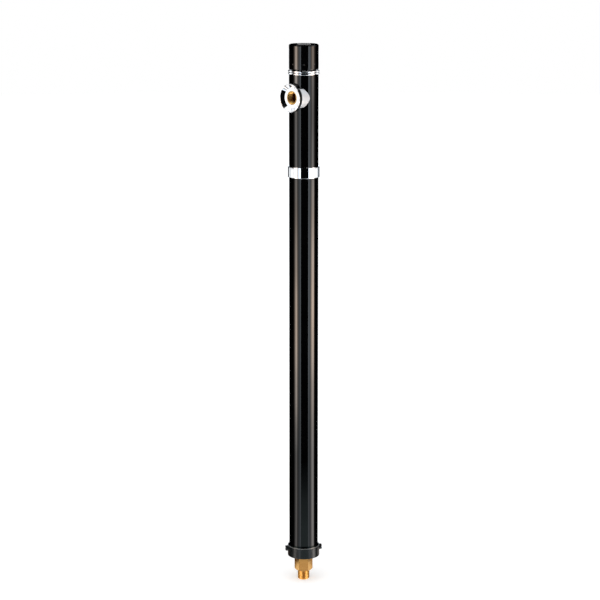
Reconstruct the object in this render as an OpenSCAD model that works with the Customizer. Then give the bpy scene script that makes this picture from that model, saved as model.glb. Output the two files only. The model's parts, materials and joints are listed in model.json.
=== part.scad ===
// Garden standpipe: a black pole with a turning knob on top, a female outlet with a chrome cup,
// and a brass foot valve that a long lift rod opens from the knob.
// Millimetres. Z is up, the origin is on the pole's axis at the shoulder of the inlet thread,
// and the outlet faces -Y.

/* [Pole] */
// Outer diameter of both tubes and of the knob
pole_d = 50.8; // [50:0.1:58]
// Wall of both tubes
pole_wall = 1.5; // [1:0.1:2.5]
// Length of the lower tube
lower_tube_len = 689; // [400:0.5:1000]
// Length of the upper tube
upper_tube_len = 166; // [150:0.5:260]
// Height of the chrome band over the joint of the tubes
band_h = 19; // [10:0.5:30]
// How far the chrome band stands out from the tubes
band_proud = 1.95; // [1:0.05:3]
// Rounding of the chrome band's edges
band_round = 0.8; // [0.3:0.1:0.8]
// Length of the sleeve inside the joint of the tubes
sleeve_len = 50; // [30:1:80]
// Wall of the joint sleeve
sleeve_wall = 1.8; // [1:0.1:3]

/* [Foot valve] */
// Diameter of the male inlet thread, R 1/2
thread_d = 20.955; // [18:0.005:24]
// Length of the inlet thread
thread_len = 17.5; // [12:0.5:20]
// Chamfer at the end of the inlet thread
thread_chamfer = 1.2; // [0.5:0.1:2]
// Width of the foot's hexagon across its flats
hex_af = 28; // [27:0.5:32]
// Length of the foot's hexagon
hex_len = 27.5; // [26:0.5:40]
// Diameter of the barrel above the hexagon
barrel_d = 24; // [22.5:0.5:26]
// Length of the barrel
barrel_len = 40; // [34:0.5:60]
// Bore of the inlet
inlet_bore_d = 14; // [10:0.5:15]
// Bore of the valve chamber
chamber_d = 18; // [17.4:0.1:19]
// Height of the chamber's floor above the thread's shoulder
chamber_floor = 1.5; // [1:0.1:4]
// Thickness of the seat ring
seat_t = 4; // [3:0.1:6]
// Bore of the seat ring
seat_bore_d = 10; // [8:0.1:10.8]
// Diameter of the drain hole in the back of the hexagon
drain_d = 3; // [2:0.1:4]

/* [Valve plug and rod] */
// Diameter of the disc that closes the seat
plug_disc_d = 12.4; // [11.6:0.1:13]
// Thickness of the plug's disc
plug_disc_t = 2.5; // [2:0.1:4]
// Thickness of the rubber washer under the disc
plug_washer_t = 2; // [1.5:0.1:3]
// Height of the sleeve that covers the drain when the valve is open
plug_sleeve_h = 9; // [8:0.1:11]
// Wall of that sleeve
plug_sleeve_wall = 1.5; // [1:0.1:1.8]
// Diameter of the plug's stem
plug_stem_d = 8; // [7.6:0.1:9]
// Length of the plug's stem
plug_stem_len = 26; // [20:0.5:34]
// Diameter of the lift rod
rod_d = 6; // [5:0.1:6.4]
// Depth of the rod in each of its end sockets
rod_grip = 8; // [5:0.5:10]
// Lift of the plug from shut to fully open
lift = 6; // [4:0.1:6.5]

/* [Collar] */
// Wall of the collar round the pole's end
collar_wall = 2.8; // [1.8:0.05:4]
// Height of the collar up to its rim
collar_h = 19; // [15:0.5:30]
// Height of the bevel from the rim up to the pole
collar_bevel_h = 3.5; // [2:0.1:6]
// Thickness of the collar's floor
collar_floor_t = 3; // [2:0.1:5]
// Thickness of the foot washer, and depth of the skirt round it
foot_washer_t = 2; // [1:0.1:3]
// Outer diameter of the foot washer
foot_washer_d = 38; // [34:0.5:44]
// Wall of the ring inside the pole's end
collar_ring_wall = 3; // [2:0.1:4]
// Height of the ring inside the pole's end
collar_ring_h = 13; // [11:0.5:24]
// Diameter of the collar screws
collar_screw_d = 6; // [4:0.5:6]
// Height of the collar screws above the pole's end
collar_screw_rise = 8.5; // [5:0.1:9]
// Head diameter of the collar screws
collar_head_d = 10; // [8:0.5:11]
// Head height of the collar screws
collar_head_h = 3.9; // [2.5:0.1:5]
// Direction of the collar screws' line, in degrees from +X
collar_screw_angle = 54; // [0:1:180]
// Width of the lock nut across its flats
lock_nut_af = 32; // [29:0.5:34]
// Height of the lock nut
lock_nut_h = 8; // [5:0.5:12]

/* [Riser] */
// Outer diameter of the copper riser pipe
riser_d = 15.88; // [15:0.01:16.2]
// Wall of the riser pipe
riser_wall = 1; // [0.6:0.1:1.1]
// Depth of the riser in its sockets
riser_grip = 14; // [10:0.5:18]
// Wall of the adapter round the riser's lower end
adapter_wall = 3; // [2.5:0.1:4]
// Height of the adapter's flange
adapter_flange_h = 6; // [4:0.5:10]
// Length of the adapter's thread inside the barrel
adapter_thread_len = 10; // [6:0.5:14]

/* [Head] */
// Height of the tube's top above the outlet's axis
outlet_drop = 38; // [36:0.5:60]
// Outer diameter of the head block
block_d = 30; // [28:0.5:34]
// Height of the head block above and below the outlet's axis
block_half_h = 24; // [23:0.5:26]
// Bore of the water chamber in the head block
block_bore_d = 18; // [17.6:0.1:19]
// Height of the water chamber above and below the outlet's axis
block_bore_half_h = 10; // [9.6:0.1:11]
// Diameter of the gland nut's thread
gland_d = 22; // [20:0.5:24]
// Width of the gland nut's head across its flats
gland_af = 24; // [23:0.5:26]
// Height of the gland nut's head
gland_head_h = 8; // [5:0.5:9]
// Thickness of the nylon ring that centres the head block
block_ring_h = 6; // [4:0.5:8]
// Thickness of the rod guide
guide_t = 3; // [2:0.1:3.4]

/* [Spindle] */
// Diameter of the spindle's shaft
spindle_d = 10; // [9:0.1:10.6]
// Diameter of the spindle's thrust flange
spindle_flange_d = 17; // [15:0.1:17.2]
// Thickness of the thrust flange
spindle_flange_t = 3.8; // [3:0.1:4]
// Thickness of the thrust washer above the flange
thrust_washer_t = 1; // [0.6:0.1:1.2]
// Diameter of the spindle's lifting screw
lift_screw_d = 6; // [5:0.1:6.2]
// Reach of the lifting screw below the outlet's axis
lift_screw_reach = 34; // [28:0.5:40]
// Width of the square lifting nut across its flats
lift_nut_w = 9; // [8.6:0.1:9.4]
// Width of the square that drives the spindle
drive_square_w = 7; // [6:0.1:7]
// Length of that square
drive_square_len = 15; // [10:0.5:18]
// Thickness of the seal rings
seal_ring_d = 1.7; // [1.4:0.1:1.8]

/* [Outlet] */
// Outer diameter of the outlet socket
socket_d = 23.4; // [23:0.1:26]
// Bore of the outlet socket, G 1/2 before its thread is cut
socket_bore_d = 18.6; // [18:0.1:19.2]
// Bore of the port behind the socket
port_d = 12.4; // [10:0.1:13]
// Diameter of the socket's spigot in the head block
spigot_d = 16; // [15:0.1:17]
// Thickness of the fibre washer behind the socket
socket_washer_t = 1; // [0.6:0.1:2]
// Diameter of the round chrome saddle against the pole
saddle_d = 47.5; // [40:0.5:48.5]
// Height of the saddle between its two flats
saddle_h = 31.5; // [28:0.5:38]
// Rounding of the saddle's front edge
saddle_round = 1.5; // [0.5:0.1:2]
// How far the saddle's front stands out from the pole
saddle_proud = 1.9; // [1.5:0.1:5]
// Diameter of the cup's rim
cup_d = 48.4; // [46:0.1:56]
// Diameter of the cup's flat floor
cup_flat_d = 34.4; // [33:0.1:38]
// Depth of the cup inside
cup_depth = 5.5; // [4.8:0.1:8]
// Thickness of the cup's sheet
cup_wall = 1.2; // [0.8:0.1:2]
// Diameter of the small hole in the top of the cup
cup_hole_d = 4; // [1.5:0.1:5]

/* [Knob] */
// Height of the chrome ring under the knob
ring_h = 8; // [5:0.1:10]
// How far the chrome ring stands out from the tube
ring_proud = 1.4; // [0.8:0.1:2.5]
// Length of the ring's spigot inside the tube
ring_spigot = 12; // [8:0.5:14]
// Running gap between the chrome ring and the knob
knob_gap = 0.8; // [0.4:0.1:1.5]
// Height of the knob
knob_h = 43; // [42:0.5:60]
// Wall of the knob
knob_wall = 2.6; // [2:0.1:4]
// Thickness of the knob's top
knob_top_t = 4; // [3:0.1:6]
// Rounding of the knob's top edge
knob_round = 3; // [1:0.1:4]
// Rounding of the knob's bottom edge
knob_foot_round = 1.6; // [0.5:0.1:2]
// Number of dimples and of ribs round the knob
knob_dimples = 8; // [6:1:12]
// Diameter of the dimples
dimple_d = 3.2; // [2:0.1:5]
// Depth of the dimples
dimple_depth = 0.5; // [0.3:0.1:0.8]
// Height of the dimples above the knob's bottom edge
dimple_rise = 9; // [6:0.5:16]
// Diameter of the plate in the knob's top
plate_d = 38; // [30:0.5:40]
// Thickness of the plate
plate_t = 1.2; // [0.8:0.1:1.5]
// Diameter of the brass insert in the knob
insert_d = 16; // [14:0.5:18]
// Height of the insert's lower end above the knob's bottom edge
insert_rise = 11; // [8:0.5:14]

/* [Fits] */
// Clearance round pieces that stay still together
fit_gap = 0.1; // [0.05:0.01:0.15]
// Radial clearance of pieces that turn or slide
run_gap = 0.06; // [0.03:0.01:0.1]

/* [Hidden] */
$fn = 96;
// Overshoot of a cutting solid past the face that it cuts
cut = 1;
// Gap between flat faces that part or turn on each other
face_gap = 0.1;

black_paint = "#16171a";
chrome = "#dfe3e8";
brass = "#c8924a";
copper = "#b8703f";
steel = "#a9adb2";
rubber = "#202020";
nylon = "#e8e4d8";

// Levels up the pole
washer_z = hex_len;
floor_z = washer_z + foot_washer_t;
pole_z = floor_z + collar_floor_t;
joint_z = pole_z + lower_tube_len;
ring_z = joint_z + upper_tube_len;
knob_z = ring_z + ring_h + knob_gap;
outlet_z = ring_z - outlet_drop;
barrel_z = hex_len + barrel_len;

// Radii of the pole
pole_r = pole_d / 2;
bore_r = pole_r - pole_wall;

// Foot valve
seat_z = chamber_floor + seat_t;
plug_z = seat_z + face_gap + plug_washer_t;
sleeve_top_z = plug_z + plug_sleeve_h;
drain_z = sleeve_top_z + drain_d;
stem_top_z = plug_z + plug_disc_t + plug_stem_len;
rod_low_z = stem_top_z - rod_grip;
chamber_r = chamber_d / 2;
plug_sleeve_r = chamber_r - run_gap;
drain_angle = 135;
hex_angle = -15;

// Riser and its adapter
riser_r = riser_d / 2;
riser_bore_r = riser_r - riser_wall;
socket_r = riser_r + fit_gap;
adapter_stop_z = barrel_z + 2;
adapter_top_z = adapter_stop_z + riser_grip;
adapter_r = socket_r + adapter_wall;
riser_stop_z = outlet_z - block_bore_half_h;
seal_r = seal_ring_d / 2;
riser_seal_levels = [adapter_top_z - riser_grip / 3, riser_stop_z - riser_grip / 2];

// Head block, spindle and lifting nut
gland_low_z = outlet_z + block_bore_half_h;
block_top_z = outlet_z + block_half_h;
washer_top_z = gland_low_z - face_gap;
flange_top_z = washer_top_z - thrust_washer_t - face_gap;
flange_low_z = flange_top_z - spindle_flange_t;
guide_r = block_bore_d / 2 - fit_gap;
lift_nut_top_z = flange_low_z - lift - 1.5;
screw_low_z = outlet_z - lift_screw_reach;
lift_bore_low_z = screw_low_z - lift - 2;
rod_top_z = lift_bore_low_z - 2;
lift_nut_low_z = rod_top_z - rod_grip;
gland_seal_levels = [gland_low_z + 4, gland_low_z + 9];

// Outlet, measured outwards from the pole's axis
block_face = block_d / 2 - 1;
saddle_front = pole_r + saddle_proud;
cup_back = saddle_front + fit_gap;
cup_floor = cup_back + cup_wall;
cup_rim = cup_floor + cup_depth;
socket_front = cup_floor;
socket_back = block_face + socket_washer_t;

// Knob
insert_z = knob_z + insert_rise;
square_top_z = insert_z + drive_square_len;
insert_top_z = square_top_z + 2.5;
knob_top_z = knob_z + knob_h;
insert_r = insert_d / 2;

// A ring turned about the Z axis
module ring(inner, outer, low, high) {
    rotate_extrude() translate([inner, low]) square([outer - inner, high - low]);
}

// A rectangle with four rounded corners, in the plane of a turned profile
module soft_rect(inner, outer, low, high, round_r) {
    translate([inner + round_r, low]) square([outer - inner - 2 * round_r, high - low]);
    translate([inner, low + round_r]) square([outer - inner, high - low - 2 * round_r]);
    for (x = [inner + round_r, outer - round_r], y = [low + round_r, high - round_r])
        translate([x, y]) circle(round_r, $fn = 32);
}

// A hexagonal prism, given by its width across flats
module hex_bar(flats, low, high) {
    translate([0, 0, low]) cylinder(r = flats / sqrt(3), h = high - low, $fn = 6);
}

// A square prism on the Z axis
module square_bar(width, low, high) {
    translate([-width / 2, -width / 2, low]) cube([width, width, high - low]);
}

// Seal rings that grip a shaft, one at each level
module seal_rings(shaft_r, levels) {
    for (level = levels)
        translate([0, 0, level]) rotate_extrude() translate([shaft_r + seal_r, 0]) circle(seal_r, $fn = 24);
}

// The grooves that those seal rings lie in, cut outwards from the shaft
module seal_grooves(shaft_r, levels) {
    groove_h = seal_ring_d + 2 * fit_gap;
    for (level = levels)
        ring(shaft_r - cut, shaft_r + seal_ring_d + fit_gap, level - groove_h / 2, level + groove_h / 2);
}

// Turns what is drawn up the Z axis so that it runs out along the outlet's axis
module along_outlet() {
    translate([0, 0, outlet_z]) rotate([90, 0, 0]) children();
}

// Sets what is drawn along +X at the two collar screws
module at_collar_screws() {
    for (side = [0, 180])
        translate([0, 0, pole_z + collar_screw_rise]) rotate([0, 0, collar_screw_angle + side]) children();
}

// Radial hole for a collar screw
module collar_screw_hole() {
    at_collar_screws() rotate([0, 90, 0]) cylinder(d = collar_screw_d + 2 * fit_gap, h = pole_d);
}

// Inlet thread, hexagon and barrel in one brass body, with the valve chamber inside
module foot_valve_body() {
    thread_r = thread_d / 2;
    corner_r = hex_af / sqrt(3);
    color(brass) difference() {
        union() {
            translate([0, 0, -thread_len])
                cylinder(r1 = thread_r - thread_chamfer, r2 = thread_r, h = thread_chamfer);
            ring(0, thread_r, thread_chamfer - thread_len, cut);
            intersection() {
                rotate([0, 0, hex_angle]) hex_bar(hex_af, 0, hex_len);
                union() {
                    cylinder(r1 = hex_af / 2, r2 = corner_r + cut, h = (corner_r + cut - hex_af / 2) * tan(35));
                    ring(0, corner_r + cut, (corner_r + cut - hex_af / 2) * tan(35), hex_len);
                }
            }
            ring(0, barrel_d / 2, hex_len - cut, barrel_z);
        }
        ring(0, inlet_bore_d / 2, -thread_len - cut, chamber_floor + cut);
        ring(0, chamber_r, chamber_floor, barrel_z + cut);
        translate([0, 0, drain_z]) rotate([0, 90, drain_angle]) cylinder(d = drain_d, h = hex_af, $fn = 32);
    }
}

// Seat ring pressed into the chamber's floor
module valve_seat() {
    color(steel) ring(seat_bore_d / 2, chamber_r - fit_gap / 2, chamber_floor, seat_z);
}

module foot_washer() {
    color(rubber) ring(barrel_d / 2 + fit_gap, foot_washer_d / 2, washer_z, floor_z);
}

// Collar with a bevelled rim, a groove for the pole's end and a pad under each screw head
module foot_collar() {
    skirt_r = pole_r + fit_gap;
    outer_r = skirt_r + collar_wall;
    inner_r = bore_r - fit_gap;
    rim_z = washer_z + collar_h;
    rim_round = collar_wall / 4;
    bevel_land = 0.4;
    color(black_paint) difference() {
        union() {
            rotate_extrude() {
                soft_rect(skirt_r, outer_r, washer_z, rim_z, rim_round);
                polygon([
                    [skirt_r, rim_z - rim_round],
                    [outer_r - rim_round, rim_z - rim_round],
                    [outer_r - rim_round, rim_z],
                    [skirt_r + bevel_land, rim_z + collar_bevel_h],
                    [skirt_r, rim_z + collar_bevel_h]
                ]);
            }
            ring(barrel_d / 2 + fit_gap, skirt_r + collar_wall / 2, floor_z, pole_z);
            ring(inner_r - collar_ring_wall, inner_r, floor_z, pole_z + collar_ring_h);
            at_collar_screws() rotate([0, 90, 0]) translate([0, 0, skirt_r + collar_wall / 2])
                cylinder(d = collar_head_d + 1, h = collar_wall / 2 + 0.6);
        }
        collar_screw_hole();
    }
}

// Two slotted screws that hold the collar to the pole
module collar_screws() {
    seat_r = pole_r + fit_gap + collar_wall + 0.6;
    tip_r = bore_r - fit_gap - collar_ring_wall;
    slot_w = 1.6;
    slot_depth = 1.6;
    color(black_paint) at_collar_screws() difference() {
        rotate([0, 90, 0]) {
            translate([0, 0, tip_r]) cylinder(d = collar_screw_d, h = seat_r - tip_r);
            translate([0, 0, seat_r]) rotate_extrude() intersection() {
                soft_rect(-collar_head_d / 2, collar_head_d / 2, -collar_head_h, collar_head_h, 1.2);
                square([collar_head_d, collar_head_h]);
            }
        }
        translate([seat_r + collar_head_h - slot_depth, -collar_head_d, -slot_w / 2])
            cube([slot_depth + cut, 2 * collar_head_d, slot_w]);
    }
}

// Nut that clamps the collar's floor and the washer against the hexagon
module lock_nut() {
    color(brass) difference() {
        hex_bar(lock_nut_af, pole_z, pole_z + lock_nut_h);
        ring(0, barrel_d / 2 + fit_gap, pole_z - cut, pole_z + lock_nut_h + cut);
    }
}

// Adapter screwed into the barrel that takes the riser's lower end
module riser_adapter() {
    color(brass) difference() {
        union() {
            ring(0, chamber_r - fit_gap / 2, barrel_z - adapter_thread_len, barrel_z + cut);
            hex_bar(barrel_d - 1, barrel_z, barrel_z + adapter_flange_h);
            ring(0, adapter_r, barrel_z + cut, adapter_top_z);
        }
        ring(0, riser_bore_r, barrel_z - adapter_thread_len - cut, adapter_top_z);
        ring(0, socket_r, adapter_stop_z, adapter_top_z + cut);
        seal_grooves(socket_r, [riser_seal_levels[0]]);
    }
}

// One seal ring round each end of the riser
module riser_seals() {
    color(rubber) seal_rings(socket_r, riser_seal_levels);
}

module riser_pipe() {
    color(copper) ring(riser_bore_r, riser_r, adapter_stop_z, riser_stop_z);
}

module lower_pole() {
    color(black_paint) difference() {
        ring(bore_r, pole_r, pole_z, joint_z);
        collar_screw_hole();
    }
}

// Sleeve inside the butt joint of the two tubes
module joint_sleeve() {
    sleeve_r = bore_r - fit_gap;
    color(steel) ring(sleeve_r - sleeve_wall, sleeve_r, joint_z - sleeve_len / 2, joint_z + sleeve_len / 2);
}

module chrome_band() {
    color(chrome) rotate_extrude()
        soft_rect(pole_r + fit_gap, pole_r + band_proud, joint_z - band_h / 2, joint_z + band_h / 2, band_round);
}

// Upper tube with a clearance hole for the outlet socket
module upper_tube() {
    color(black_paint) difference() {
        ring(bore_r, pole_r, joint_z, ring_z);
        along_outlet() cylinder(d = socket_d + 2, h = pole_d);
    }
}

// Brass block that turns the water from the riser to the outlet and carries the gland
module head_block() {
    color(brass) difference() {
        ring(0, block_d / 2, outlet_z - block_half_h, block_top_z);
        ring(0, socket_r, outlet_z - block_half_h - cut, riser_stop_z + cut);
        ring(0, block_bore_d / 2, riser_stop_z, gland_low_z + cut);
        ring(0, gland_d / 2, gland_low_z, block_top_z + cut);
        along_outlet() cylinder(d = spigot_d + 2 * fit_gap, h = block_d);
        along_outlet() translate([0, 0, block_face]) cylinder(d = socket_d + 1, h = block_d);
        seal_grooves(socket_r, [riser_seal_levels[1]]);
    }
}

// Nylon ring that centres the block in the upper tube
module block_ring() {
    low = outlet_z - block_half_h + 2;
    color(nylon) ring(block_d / 2 + fit_gap, bore_r - fit_gap, low, low + block_ring_h);
}

// Disc with a square hole that keeps the lifting nut from turning, and holes for the water
module rod_guide() {
    hole_w = lift_nut_w + 4 * run_gap;
    flow_r = (hole_w / 2 + guide_r) / 2;
    color(brass) difference() {
        ring(0, guide_r, riser_stop_z, riser_stop_z + guide_t);
        square_bar(hole_w, riser_stop_z - cut, riser_stop_z + guide_t + cut);
        for (turn = [0 : 90 : 270])
            rotate([0, 0, turn]) translate([flow_r, 0, riser_stop_z - cut])
                cylinder(r = (guide_r - hole_w / 2) / 4, h = guide_t + 2 * cut, $fn = 32);
    }
}

// Nut that closes the head block and seals round the spindle
module gland_nut() {
    shaft_r = spindle_d / 2 + run_gap;
    color(brass) difference() {
        union() {
            ring(0, gland_d / 2 - fit_gap, gland_low_z, block_top_z + cut);
            hex_bar(gland_af, block_top_z, block_top_z + gland_head_h);
        }
        ring(0, shaft_r, gland_low_z - cut, block_top_z + gland_head_h + cut);
        seal_grooves(shaft_r, gland_seal_levels);
    }
}

module gland_seals() {
    color(rubber) seal_rings(spindle_d / 2 + run_gap, gland_seal_levels);
}

module thrust_washer() {
    color(nylon) ring(spindle_d / 2 + run_gap, block_bore_d / 2 - fit_gap,
                      washer_top_z - thrust_washer_t, washer_top_z);
}

// Fibre washer between the head block and the outlet socket
module outlet_washer() {
    color(rubber) along_outlet() ring(spigot_d / 2 + fit_gap, socket_d / 2, block_face, socket_back);
}

// Female socket that a tap or a hose fitting screws into
module outlet_socket() {
    mouth_chamfer = 0.8;
    color(brass) along_outlet() difference() {
        union() {
            ring(0, socket_d / 2, socket_back, socket_front);
            ring(0, spigot_d / 2, block_bore_d / 2, socket_back + cut);
        }
        ring(0, port_d / 2, block_bore_d / 2 - cut, socket_back + 2 * cut);
        ring(0, socket_bore_d / 2, socket_back + cut, socket_front + cut);
        translate([0, 0, socket_front - mouth_chamfer])
            cylinder(r1 = socket_bore_d / 2, r2 = socket_bore_d / 2 + mouth_chamfer, h = mouth_chamfer);
    }
}

// Chrome saddle: a round boss with two flats that seats the cup on the round pole
module outlet_saddle() {
    saddle_r = saddle_d / 2;
    hole_r = socket_d / 2 + fit_gap;
    color(chrome) difference() {
        intersection() {
            along_outlet() rotate_extrude() {
                translate([hole_r, 0]) square([saddle_r - saddle_round - hole_r, saddle_front]);
                translate([hole_r, 0]) square([saddle_r - hole_r, saddle_front - saddle_round]);
                translate([saddle_r - saddle_round, saddle_front - saddle_round]) circle(saddle_round, $fn = 32);
            }
            translate([-saddle_d, -saddle_d, outlet_z - saddle_h / 2]) cube([2 * saddle_d, 2 * saddle_d, saddle_h]);
        }
        ring(0, pole_r + fit_gap, outlet_z - saddle_h, outlet_z + saddle_h);
    }
}

// Chrome cup: a flat floor, a conical wall and a rolled rim
module outlet_cup() {
    floor_r = cup_flat_d / 2;
    roll_r = 0.75 * cup_wall;
    roll_x = cup_d / 2 - roll_r;
    roll_y = cup_rim - roll_r / 2;
    lean = atan((roll_y - cup_floor) / (roll_x - floor_r));
    half_x = cup_wall / 2 * sin(lean);
    half_y = cup_wall / 2 * cos(lean);
    hole_r = (floor_r + roll_x) / 2;
    color(chrome) along_outlet() difference() {
        rotate_extrude() {
            polygon([
                [socket_d / 2 + fit_gap, cup_back],
                [floor_r + cup_wall * tan(lean / 2), cup_back],
                [roll_x + half_x, roll_y - half_y],
                [roll_x - half_x, roll_y + half_y],
                [floor_r, cup_floor],
                [socket_d / 2 + fit_gap, cup_floor]
            ]);
            translate([roll_x, roll_y]) circle(roll_r, $fn = 32);
        }
        translate([0, hole_r, cup_back]) cylinder(d = cup_hole_d, h = cup_depth + 2 * cup_wall, $fn = 32);
    }
}

// Chrome ring with two beads, a web over the tube's end and a spigot inside it
module trim_ring() {
    bead_r = ring_h / 4;
    web_hole_r = gland_af / sqrt(3) + 0.5;
    color(chrome) rotate_extrude() {
        for (bead = [1, 3])
            translate([pole_r + ring_proud - bead_r, ring_z + bead * bead_r]) circle(bead_r, $fn = 32);
        translate([web_hole_r, ring_z]) square([pole_r + ring_proud - bead_r - web_hole_r, ring_h]);
        translate([bore_r - fit_gap - sleeve_wall, ring_z - ring_spigot]) square([sleeve_wall, ring_spigot + cut]);
    }
}

// Spindle: drive square, shaft, thrust flange and lifting screw
module spindle() {
    color(steel) difference() {
        union() {
            square_bar(drive_square_w, insert_z - cut, square_top_z);
            ring(0, spindle_d / 2, flange_low_z, insert_z);
            ring(0, spindle_flange_d / 2, flange_low_z, flange_top_z);
            ring(0, lift_screw_d / 2, screw_low_z, flange_low_z + cut);
        }
        ring(0, 2 + fit_gap, square_top_z - 12, square_top_z + cut);
    }
}

// Hollow knob with a boss for the insert, inner ribs and a row of dimples
module knob_shell() {
    inner_r = pole_r - knob_wall;
    boss_r = insert_r + fit_gap + 3;
    rib_t = 2;
    rib_h = 18;
    ceiling_z = knob_top_z - knob_top_t;
    ball_r = (pow(dimple_d / 2, 2) + pow(dimple_depth, 2)) / (2 * dimple_depth);
    color(black_paint) difference() {
        union() {
            rotate_extrude() difference() {
                union() {
                    translate([0, knob_z]) square([pole_r - knob_round, knob_h]);
                    translate([0, knob_z + knob_foot_round])
                        square([pole_r, knob_h - knob_round - knob_foot_round]);
                    translate([pole_r - knob_round, knob_top_z - knob_round]) circle(knob_round);
                    intersection() {
                        translate([pole_r - knob_foot_round, knob_z + knob_foot_round]) circle(knob_foot_round);
                        translate([inner_r, knob_z]) square([knob_wall, knob_h]);
                    }
                    translate([inner_r, knob_z]) square([knob_wall - knob_foot_round, knob_h / 2]);
                }
                translate([boss_r, knob_z - cut]) square([inner_r - boss_r, ceiling_z - knob_z + cut]);
                translate([0, knob_z - cut]) square([boss_r + cut, insert_rise + cut]);
                translate([0, knob_z]) square([insert_r + fit_gap, insert_top_z - knob_z]);
                translate([0, knob_z]) square([insert_r - 3, knob_h + cut]);
                translate([0, knob_top_z - plate_t]) square([plate_d / 2 + fit_gap, plate_t + cut]);
            }
            for (rib = [0 : knob_dimples - 1])
                rotate([0, 0, rib * 360 / knob_dimples])
                    translate([boss_r - 1, -rib_t / 2, ceiling_z - rib_h])
                        cube([inner_r - boss_r + 1 + knob_wall / 2, rib_t, rib_h + 1]);
        }
        for (dimple = [0 : knob_dimples - 1])
            rotate([0, 0, dimple * 360 / knob_dimples - 45])
                translate([pole_r + ball_r - dimple_depth, 0, knob_z + dimple_rise]) sphere(ball_r, $fn = 48);
    }
}

// Plate that covers the knob's screw
module knob_plate() {
    color(black_paint) ring(0, plate_d / 2, knob_top_z - plate_t, knob_top_z);
}

// Brass insert in the knob's boss, with a square hole for the spindle
module knob_insert() {
    color(brass) difference() {
        ring(0, insert_r, insert_z, insert_top_z);
        square_bar(drive_square_w + 2 * fit_gap, insert_z - cut, square_top_z + fit_gap);
        ring(0, 2 + 2 * fit_gap, insert_z, insert_top_z + cut);
    }
}

// Screw that holds the knob on the spindle
module knob_screw() {
    color(steel) difference() {
        union() {
            ring(0, 2, square_top_z - 10, insert_top_z + cut);
            ring(0, 3.8, insert_top_z, insert_top_z + 2.8);
        }
        hex_bar(2.5, insert_top_z + 1.2, insert_top_z + 2.8 + cut);
    }
}

// Square nut that climbs the lifting screw and pulls the rod
module lift_nut() {
    color(brass) difference() {
        square_bar(lift_nut_w, lift_nut_low_z, lift_nut_top_z);
        ring(0, lift_screw_d / 2 + run_gap, lift_bore_low_z, lift_nut_top_z + cut);
        ring(0, rod_d / 2 + fit_gap / 2, lift_nut_low_z - cut, rod_top_z);
    }
}

module lift_rod() {
    color(steel) ring(0, rod_d / 2, rod_low_z, rod_top_z);
}

// Plug: disc, stem, and a sleeve on three ribs that covers the drain when the plug is up
module valve_plug() {
    rib_t = 1.6;
    rib_inset = 0.6;
    rib_start = 0.3 * plug_stem_d;
    color(brass) difference() {
        union() {
            ring(0, plug_disc_d / 2, plug_z, plug_z + plug_disc_t);
            ring(0, plug_stem_d / 2, plug_z, stem_top_z);
            ring(plug_sleeve_r - plug_sleeve_wall, plug_sleeve_r, plug_z, sleeve_top_z);
            for (turn = [0 : 120 : 240])
                rotate([0, 0, turn]) translate([rib_start, -rib_t / 2, plug_z + rib_inset])
                    cube([plug_sleeve_r - plug_sleeve_wall / 2 - rib_start, rib_t, plug_sleeve_h - 2 * rib_inset]);
        }
        ring(0, rod_d / 2 + fit_gap / 2, rod_low_z, stem_top_z + cut);
        ring(0, 1.5 + fit_gap, plug_z - cut, plug_z + 8);
    }
}

module plug_washer() {
    color(rubber) ring(1.5 + fit_gap, plug_disc_d / 2, plug_z - plug_washer_t, plug_z);
}

// Screw that holds the rubber washer on the plug
module plug_screw() {
    head_top_z = plug_z - plug_washer_t;
    color(steel) {
        ring(0, 1.5, head_top_z - cut, plug_z + 6);
        ring(0, 3, head_top_z - 2.4, head_top_z);
    }
}

foot_valve_body();
valve_seat();
foot_washer();
foot_collar();
collar_screws();
lock_nut();
riser_adapter();
riser_seals();
riser_pipe();
lower_pole();
joint_sleeve();
chrome_band();
upper_tube();
head_block();
block_ring();
rod_guide();
gland_nut();
gland_seals();
thrust_washer();
outlet_washer();
outlet_socket();
outlet_saddle();
outlet_cup();
trim_ring();
spindle();
knob_shell();
knob_plate();
knob_insert();
knob_screw();
lift_nut();
lift_rod();
valve_plug();
plug_washer();
plug_screw();
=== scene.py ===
# %% [markdown]
# A garden standpipe, dressed for its portrait
#
# The solids of this standpipe come from a CAD model, in metres, with the origin at the shoulder of the inlet
# thread, +Z up the pole and the outlet facing -Y. This lesson gives them finishes, cuts the pipe threads
# that the solids leave out, marks the knob, and builds the studio in which the object stands.

# %% Load the solids
import json
import math

import bmesh
import bpy
from mathutils import Matrix, Vector


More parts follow.
